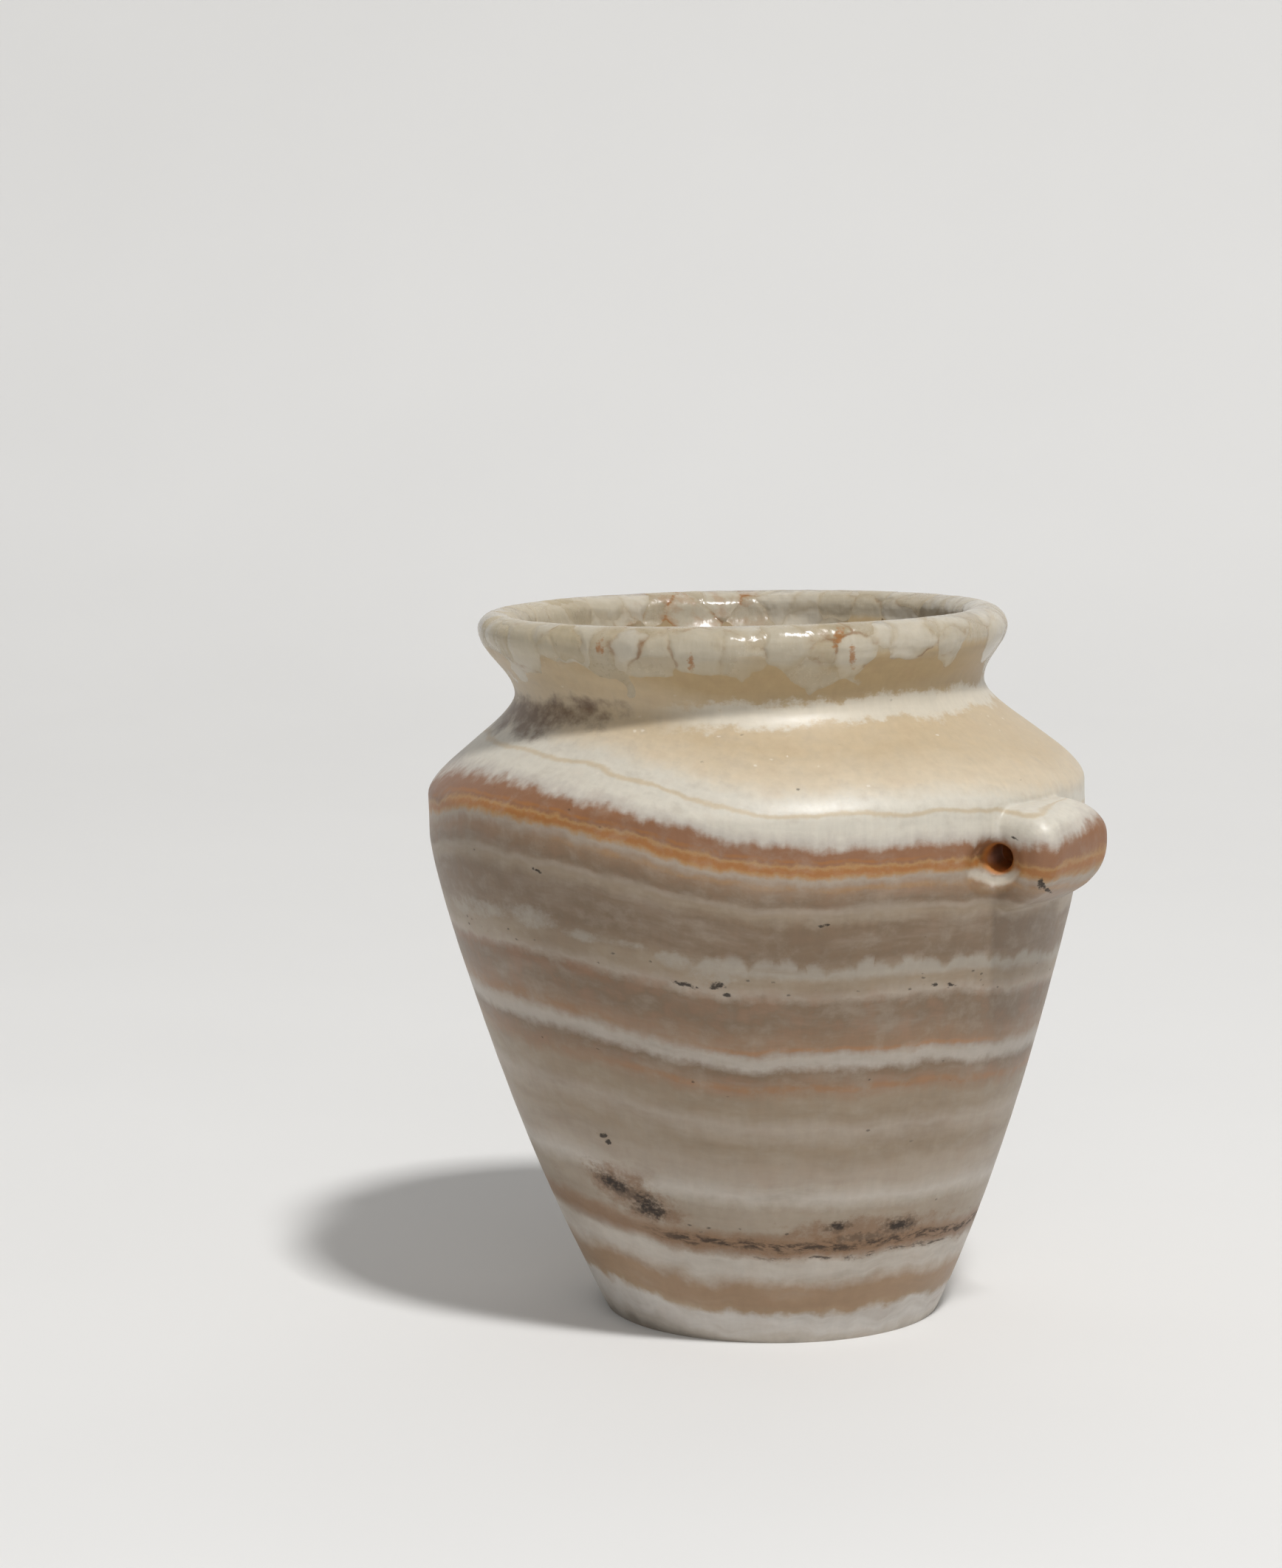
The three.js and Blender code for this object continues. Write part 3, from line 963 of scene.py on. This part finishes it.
class Stone:
    """What every finish of the jar's stone shares: where a point lies, and the stone's grain."""

    def __init__(self, paint):
        self.paint = paint
        self.place = paint.object_place()
        split = paint.node("ShaderNodeSeparateXYZ", None, {0: self.place}, output=None)
        x, y, z = [Value(paint, socket) for socket in split.outputs]
        height = z / MM
        cos, sin = math.cos(CAMERA_BEARING), math.sin(CAMERA_BEARING)
        # To the right of the leaning axis across the front, and behind it
        self.across = paint.dot(self.place, (cos, sin, 0)) / MM + height * FRONT_LEAN_SHARE
        self.behind = paint.dot(self.place, (-sin, cos, 0)) / MM
        self.front = self.behind.below(0, 12)
        from_axis = {0: x + height * AXIS_LEAN_SHARES[0] * MM, 1: y + height * AXIS_LEAN_SHARES[1] * MM}
        self.radius = paint.length(paint.node("ShaderNodeCombineXYZ", None, from_axis)) / MM
        tip_share = paint.step(height, 0, BELLY_LEVEL / MM)
        self.tip = paint.dot(self.place, (BODY_TIP.x, BODY_TIP.y, 0)) / MM * tip_share
        self.level = height - self.tip - BED_START
        self.ripple = self.lumps(self.place, 13, 20)
        self.scallop = self.lumps(self.place, 7, 9, 1.0)
        self.grit = self.lumps(self.place, 3.4, 2.6, 5.0, 0.72)
        self.crumbs = self.lumps(self.place, 1.1, 0.8, 3.0, 0.65, (4, 4, 1))
        self.bed = self.bed_level()
        # A place that follows the beds, for what lies along them
        self.lay = paint.node("ShaderNodeCombineXYZ", None, {0: x, 1: y, 2: self.bed * MM})
        self.mist = self.lumps(self.lay, 26, 6, 4.0, 0.6)
        self.mottle = self.lumps(self.lay, 5, 3.6, 4.0, 0.62, (3, 1, 2))
        self.waver = self.bed + self.grit * 0.7

    def lumps(self, where, wide, tall, detail=2.0, roughness=0.5, shift=(0, 0, 0)):
        """Noise about zero, with lumps that many millimetres wide and tall."""
        spread = self.paint.stretch(where, (1 / (wide * MM), 1 / (wide * MM), 1 / (tall * MM)), shift)
        return (self.paint.noise(spread, 1.0, detail, roughness) - 0.5) * 2

    def bed_level(self):
        """How far up the beds a point lies. They rise towards one side, the upper ones most."""
        slipped = self.across + (FOLD_LEVEL - self.level).larger(0) * FOLD_SLIP_SHARE
        width = 2 * FOLD_REACH
        points = [((x + FOLD_REACH) / width, (rise + FOLD_DEPTH) / FOLD_SPAN) for x, rise in FOLD]
        fold = self.paint.curve(points, (slipped + FOLD_REACH) / width) * FOLD_SPAN - FOLD_DEPTH
        share = self.paint.curve(FOLD_SHARES, self.level / TOP_BED)
        broad = self.lumps(self.place, 50, 50, 1.0)
        bed = self.level - fold * share + broad * 1.5 + self.ripple * 1.3
        bed = bed + self.scallop * (0.5 + self.level.below(20, 4) * 1.8)
        # Out along a lug the upper beds spread and rise
        along_lug = self.radius.above(LUG_CLEAR_RADIUS, 2) * self.across.above(LUG_CLEAR_ACROSS, 9)
        spread = (bed - LUG_SPREAD_BED).larger(0) * LUG_SPREAD_SHARE + LUG_RISE
        return bed - along_lug * spread

    def patch(self, x, level, half_across, half_up, slope=0.0, rough=None, soft=0.8):
        """A ragged stain round a spot, seen from the front."""
        off_across = (self.across - x) / half_across
        off_up = (self.level - level - (self.across - x) * slope) / half_up
        distance = off_across * off_across + off_up * off_up + (rough or self.grit) * 1.5
        return distance.below(0.6, soft) * self.front

    def patches(self, spots, rough=None, soft=0.8):
        return largest([self.patch(*spot, rough=rough, soft=soft) for spot in spots])


def bed_stops(beds, low, high):
    """Stops of a colour ramp for beds given by their height."""
    return [((level - low) / (high - low), tone) for level, tone in beds]


def bed_tones(stone):
    """The beds' own tones, with feathered edges. The white bed hangs in teeth over the clay one."""
    paint, bed = stone.paint, stone.bed
    jag = stone.lumps(stone.place, 1.6, 9, 1.0)
    teeth = jag * (0.35 + bed.band(*TOOTHED_BEDS) * 0.7)
    feathered = bed + stone.grit * 1.3 + teeth + stone.scallop * bed.band(*CLAY_BEDS)
    lower = paint.ramp(bed_stops(LOWER_BEDS, 0, MIDDLE_BED), feathered / MIDDLE_BED)
    upper_share = (feathered - MIDDLE_BED) / (TOP_BED - MIDDLE_BED)
    upper = paint.ramp(bed_stops(UPPER_BEDS, MIDDLE_BED, TOP_BED), upper_share)
    return paint.mix(feathered.above(MIDDLE_BED, 0.01), lower, upper)


def mist_and_mottles(stone, tone):
    """Mist drifts along the beds of the wall, lighter and darker, with warm mottles in some of them."""
    paint, bed, mist, mottle = stone.paint, stone.bed, stone.mist, stone.mottle
    wall = bed.below(101, 1.5)
    tone = paint.mix(mist.above(0.3, 0.4) * wall * 0.6, tone, DOVE)
    tone = paint.mix(mist.below(-0.25, 0.4) * wall * 0.5, tone, TAUPE)
    warm = largest([bed.band(*beds) for beds in WARM_BEDS]).larger(bed.band(*PALER_WARM_BED) * 0.6)
    tone = paint.mix(mottle.above(0.16, 0.34) * (0.12 + warm * 0.4), tone, BLUSH)
    return paint.mix(mottle.below(-0.22, 0.34) * bed.band(*COOL_BEDS) * 0.35, tone, DOVE)


def coloured_lines(stone, tone):
    """Thin coloured lines that come and go along the beds."""
    broken = stone.mottle.above(-0.12, 0.3)
    whole = stone.mist.above(-0.6, 0.3)
    for bed, half_width, tint, strength, left, right, is_broken in COLOURED_LINES:
        line = stone.waver.band(bed - half_width, bed + half_width, half_width * 0.8)
        gaps = broken if is_broken else whole
        tone = stone.paint.mix(line * stone.across.band(left, right, 6) * gaps * strength, tone, tint)
    return tone


def puffs_and_wisps(stone, tone):
    """White puffs, like a row of clouds, and white wisps round the foot of the neck."""
    paint, bed, grit, across = stone.paint, stone.bed, stone.grit, stone.across
    # Each puff grows round a point of the row, so its top is round
    distance, random, _ = paint.cells(paint.stretch(stone.place, (1, 1, 0)), PUFFS_TO_A_METRE)
    swell = (1 - distance * distance * 1.5) * (1.5 + paint.chance(random) * 1.6)
    top = (bed - swell + grit * 1.3).below(PUFF_TOP, 1)
    foot = (bed + grit).above(PUFF_FOOT, 1)
    row = top * foot * across.above(PUFF_LEFT, 4) * stone.mist.above(-0.5, 0.4)
    spots = stone.patches(PUFFS, grit * 1.6 + stone.scallop * 0.5, 0.9)
    puffs = (row * 0.7).larger(spots * 0.6)
    tone = paint.mix(puffs * 0.8, tone, PUFF)
    ragged = stone.level + grit * 3 + stone.ripple * 2 + stone.mottle * 2.4
    wisps = ragged.band(*WISPS) * across.above(PUFF_LEFT, 9)
    return paint.mix(wisps * 0.75, tone, MILK)


def stains(stone, tone):
    """Brown stains round the dark earth near the foot, and on the left of the neck a brown stain darkened
    with painted shadow of the lip.
    """
    paint, grit = stone.paint, stone.grit
    tone = paint.mix(stone.patch(*TAWNY_STAIN) * 0.5, tone, FAWN)
    along_bed = (stone.waver + grit).band(*STAINED_BEDS) * stone.across.band(*STAINED_STRETCH) * 0.5
    left = stone.patch(*LEFT_HALO) * 0.5
    tone = paint.mix(largest([along_bed, left, stone.patches(HALOS, grit * 1.4) * 0.7]), tone, EARTH)
    # Left of the neck: a brown stain, darker with painted shadow of the lip
    return paint.mix(stone.patch(*NECK_STAIN_AND_SHADE, rough=stone.ripple + stone.mottle) * 0.9, tone, UMBER_STAIN_AND_SHADE)


def dark_trails(stone):
    """Two broken lines of earth along the brown bed near the foot, on the front only."""
    dashes = stone.lumps(stone.lay, 3.4, 0.9, 3.0, 0.7, (1, 6, 2))
    upper = (stone.waver + stone.crumbs * 0.9).band(*UPPER_TRAIL)
    upper = upper * stone.across.band(*UPPER_TRAIL_STRETCH) * dashes.above(-0.02, 0.18)
    lower = (stone.waver + stone.crumbs * 0.7).band(*LOWER_TRAIL)
    lower = lower * stone.across.band(*LOWER_TRAIL_STRETCH) * dashes.above(0.1, 0.14)
    return (upper * 0.8 * stone.front).larger(lower * 0.75 * stone.front)


def pits_and_painted_glints(stone):
    """Small open pits in the porous beds, and a few painted glints, highlights of light off bright grains."""
    paint, bed = stone.paint, stone.bed
    distance, random, _ = paint.cells(paint.stretch(stone.place, (1, 1, 1.8)), PITS_TO_A_METRE)
    chance = paint.chance(random)
    spot = (distance + stone.crumbs * 0.35).below(0.2, 0.12)
    pores = bed.band(*OPEN_BED) * stone.mottle.above(-0.1, 0.3)
    pores = pores + bed.band(*UPPER_PORES) * 0.35 + bed.band(*LOWER_PORES) * 0.3
    pits = (0.004 + pores * 0.13 - chance).above(0, 0.004) * spot
    # Painted highlights: tiny glints of light off a few grains
    painted_glints = (chance - 0.975).above(0, 0.004) * spot
    return pits, painted_glints


def earth(stone, tone):
    """Dark earth in the pores, and painted glints of light. Gives the tone, and where the earth lies."""
    paint = stone.paint
    tone = stains(stone, tone)
    crust = stone.crumbs + stone.grit * 0.8
    tone = paint.mix(stone.patches(CLUMPS, crust, 0.6) * 0.7, tone, BARK)
    cores = stone.patches(CORES, crust)
    marks = stone.patches(MARKS, stone.crumbs * 1.4, 0.5)
    pits, painted_glints = pits_and_painted_glints(stone)
    # Painted glints of light on the shoulder and neck beds
    tone = paint.mix(painted_glints * stone.bed.band(*PAINTED_GLINT_BEDS) * 0.6, tone, PAINTED_GLINT)
    dirt = largest([cores * 0.9, dark_trails(stone), marks * 0.9, pits * stone.level.below(134, 1) * 0.6])
    return paint.mix(dirt, tone, SOOT), dirt


def cord_hole_tones(stone, tone):
    """Rust in the cord holes, brightened with painted light, and a pale worn edge under each mouth."""
    paint = stone.paint
    rust_and_painted_light, edges = [], []
    for side in (1, -1):
        middle = stray(Vector((HOLE_MIDDLE_RADIUS * side, 0, HOLE_LEVEL)))
        for end in (1, -1):
            mouth = stray(Vector((HOLE_MOUTH_RADIUS * side, end * LUG_WIDTH / 2, HOLE_LEVEL)))
            along = tuple((mouth - middle).normalized())
            offset = paint.vector("SUBTRACT", stone.place, tuple(mouth))
            outward = paint.dot(offset, along)
            nearest = paint.vector("SCALE", along, scale=outward)
            radius = paint.length(paint.vector("SUBTRACT", offset, nearest)) / MM
            depth = outward / MM
            rust_and_painted_light.append(radius.below(HOLE_RUST_AND_LIGHT_RADIUS, 0.5) * depth.band(*HOLE_RUST_AND_LIGHT_DEPTHS))
            below_mouth = (paint.dot(offset, (0, 0, 1)) / MM).below(-2, 1)
            ring = (radius + stone.grit * 0.5).band(*WORN_EDGE_RADII)
            edges.append(ring * depth.band(*WORN_EDGE_DEPTHS) * below_mouth)
    tone = paint.mix(largest(edges) * 0.7, tone, MILK)
    # Inside the holes: real rust, brightened with painted light
    return paint.mix(largest(rust_and_painted_light) * 0.9, tone, RUST_WITH_PAINTED_LIGHT)


def lip_rust(stone, seam, tone):
    """Rust on the lip's crystals: along some seams, in spots, and down the far side of the mouth."""
    paint, mottle = stone.paint, stone.mottle
    rusty = mottle.above(0.2, 0.25) * stone.mist.above(0, 0.3)
    seams = rusty.larger(stone.patches(RUST_SEAMS, stone.grit))
    tone = paint.mix(seam * seams * 0.75, tone, SEAM_RUST)
    tone = paint.mix(stone.patches(RUST_SPOTS, stone.crumbs * 1.6) * 0.85, tone, RUST)
    far_side = stone.behind.above(20, 6) * stone.level.above(138, 2) * stone.across.band(*FAR_RUST_STRETCH)
    return paint.mix(far_side * mottle.above(0.1, 0.2) * (0.35 + seam * 0.5), tone, RUST)


def lip_crystals(stone):
    """Coarse crystals round the lip and down the mouth: where they are, their tone, chance and relief."""
    paint = stone.paint
    bend = paint.vector("SCALE", paint.noise(stone.place, 210, output=1), scale=CRYSTAL_BEND * MM)
    place = paint.stretch(paint.vector("ADD", stone.place, bend), (1, 1, CRYSTAL_SQUASH))
    _, random, centre = paint.cells(place, CRYSTALS_TO_A_METRE)
    edge, _, _ = paint.cells(place, CRYSTALS_TO_A_METRE, "DISTANCE_TO_EDGE")
    chance = paint.chance(random)
    # Blended cells give the crystals' hanging ends their round outline
    _, _, blended = paint.cells(place, CRYSTALS_TO_A_METRE, "SMOOTH_F1", Smoothness=0.22)
    blended_height = paint.node("ShaderNodeSeparateXYZ", None, {0: blended}, 2) / (CRYSTAL_SQUASH * MM)
    hanging = (blended_height - stone.tip - BED_START + stone.ripple * 0.8).above(HANGING_LEVEL, 0.5)
    whole = (stone.level + stone.grit).above(COVERED_LEVEL, 0.8)
    covered = hanging.larger(whole) * stone.level.above(MOUTH_LEVEL, 1)
    # They are clearer inside than along their seams
    inward = edge.above(0.07, 0.07)
    milky = stone.lumps(stone.place, 2.6, 6, 3.0, 0.6, (7, 1, 0))
    tone = paint.ramp(CRYSTAL_TONES, chance * 0.75 + milky * 0.22 + 0.08)
    tone = paint.mix(inward * 0.4 + 0.6, CRYSTAL_RIM, tone)
    tone = paint.mix(stone.across.below(-36, 14) * 0.6, tone, CRYSTAL_SHADE)
    seam = (edge + stone.crumbs * 0.02).below(0.035, 0.03)
    tone = lip_rust(stone, seam, tone)
    # Each crystal's face tilts its own way
    tilt = paint.vector("SUBTRACT", random, (0.5, 0.5, 0.5))
    facet = paint.dot(tilt, paint.vector("SUBTRACT", place, centre))
    relief = facet * 0.3 + (inward * 0.1 + milky * 0.06) * MM
    return covered, tone, chance, relief


def banded_stone():
    paint = Paint("banded_travertine")
    stone = Stone(paint)
    tone = bed_tones(stone)
    tone = mist_and_mottles(stone, tone)
    tone = coloured_lines(stone, tone)
    tone = puffs_and_wisps(stone, tone)
    tone, dirt = earth(stone, tone)
    tone = cord_hole_tones(stone, tone)
    crystals, crystal_tone, chance, crystal_relief = lip_crystals(stone)
    tone = paint.mix(crystals, tone, crystal_tone)
    # Fibres run up through the beds, with fine streaks along them
    fibres = stone.lumps(stone.place, 1.7, 12, 3.0, 0.6)
    streaks = stone.lumps(stone.lay, 13, 1.3, 3.0, 0.6, (0, 2, 5))
    light = 1.0 + fibres * 0.1 + streaks * 0.07 + stone.grit * 0.05
    tone = paint.mix(1.0, tone, paint.grey(light), "MULTIPLY")
    polish = crystals * (0.12 + chance * 0.12)
    roughness = 0.42 + fibres * 0.06 + dirt * 0.3 - polish + stone.crumbs * 0.05
    relief = (fibres * 0.012 + stone.ripple * 0.06) * MM + crystal_relief * stone.level.above(143, 1.5)
    inputs = {
        "Base Color": tone,
        "Roughness": roughness,
        "IOR": 1.5,
        "Subsurface Weight": 0.25,
        "Subsurface Radius": (1.0, 0.86, 0.72),
        "Subsurface Scale": 1.2 * MM,
    }
    return paint.finish(inputs, (relief, 1.0))


# The studio, in metres

# The floor runs towards the camera and back, then curves up: distance behind the jar, and height
FLOOR_LINE = [(-2.2, 0), (0.7, 0), (0.95, 0.04), (1.12, 0.16), (1.2, 0.4), (1.2, 2.2)]
FLOOR_WIDTH = 6
FLOOR_TONES = (colour("e6e5e3"), colour("eae9e7"))
FLOOR_ROUGHNESS = 0.9
FLOOR_LUMPS = 9

# The room's light, and how bright the camera sees the room past the edge of the floor
ROOM_LIGHT = 0.25
ROOM_SEEN = 0.84

LAMP_AIM_LEVEL = 75 * MM


def studio():
    bm = bmesh.new()
    _, edges = chain(bm, [Vector(point) for point in FLOOR_LINE])
    made = bmesh.ops.extrude_edge_only(bm, edges=edges)
    bmesh.ops.translate(bm, verts=moved_points(made), vec=(0, FLOOR_WIDTH, 0))
    bmesh.ops.translate(bm, verts=bm.verts, vec=(0, -FLOOR_WIDTH / 2, 0))
    turn_about = Matrix.Rotation(math.pi / 2 + CAMERA_BEARING, 3, "Z")
    bmesh.ops.rotate(bm, verts=bm.verts, cent=(0, 0, 0), matrix=turn_about)
    bmesh.ops.recalc_face_normals(bm, faces=bm.faces)
    for face in bm.faces:
        face.smooth = True
    floor = new_object("floor", bm)
    soften = floor.modifiers.new("soften", "SUBSURF")
    soften.levels = soften.render_levels = 3
    paint = Paint("pale_floor")
    tone = paint.mix(paint.noise(paint.object_place(), FLOOR_LUMPS), *FLOOR_TONES)
    floor.data.materials.append(paint.finish({"Base Color": tone, "Roughness": FLOOR_ROUGHNESS}))


def room():
    """Even light from all round, and a pale room past the edge of the floor that lights the jar no more."""
    world = bpy.data.worlds.new("soft_room")
    world.use_nodes = True
    tree = world.node_tree
    background = tree.nodes["Background"]
    background.inputs["Color"].default_value = (1, 1, 1, 1)
    light_path = tree.nodes.new("ShaderNodeLightPath")
    strength = tree.nodes.new("ShaderNodeMapRange")
    strength.inputs["To Min"].default_value = ROOM_LIGHT
    strength.inputs["To Max"].default_value = ROOM_SEEN
    tree.links.new(light_path.outputs["Is Camera Ray"], strength.inputs["Value"])
    tree.links.new(strength.outputs["Result"], background.inputs["Strength"])
    bpy.context.scene.world = world


def lamp(name, bearing, elevation, distance, size, power):
    """A square soft lamp aimed at the jar. Bearing 0 is behind the camera, 90 degrees to its right."""
    data = bpy.data.lights.new(name, "AREA")
    data.shape = "SQUARE"
    data.size = size
    data.energy = power
    made = bpy.data.objects.new(name, data)
    bpy.context.scene.collection.objects.link(made)
    turn_angle = CAMERA_BEARING + math.radians(bearing)
    lift = math.radians(elevation)
    aim = Vector((0, 0, LAMP_AIM_LEVEL))
    level_share = math.cos(lift)
    away = Vector((math.sin(turn_angle) * level_share, -math.cos(turn_angle) * level_share, math.sin(lift)))
    made.location = aim + away * distance
    made.rotation_euler = away.to_track_quat("Z", "Y").to_euler()


def place_camera():
    camera = bpy.data.objects.new("camera", bpy.data.cameras.new("camera"))
    camera.data.lens = CAMERA_LENS
    camera.data.sensor_width = CAMERA_SENSOR
    camera.location = CAMERA_PLACE
    camera.rotation_euler = Euler((math.pi / 2 - CAMERA_PITCH, 0, CAMERA_BEARING))
    bpy.context.scene.collection.objects.link(camera)
    bpy.context.scene.camera = camera


bpy.context.scene.view_settings.view_transform = "Standard"
room()
lamp("key", bearing=28, elevation=60.5, distance=3, size=0.32, power=66)
lamp("fill", bearing=5, elevation=25, distance=3, size=1.6, power=9)
place_camera()
studio()
vase = carve_jar()
vase.data.materials.append(banded_stone())
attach(vase, "root")
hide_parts("body", "neck_and_lip", "lug_right", "lug_left")
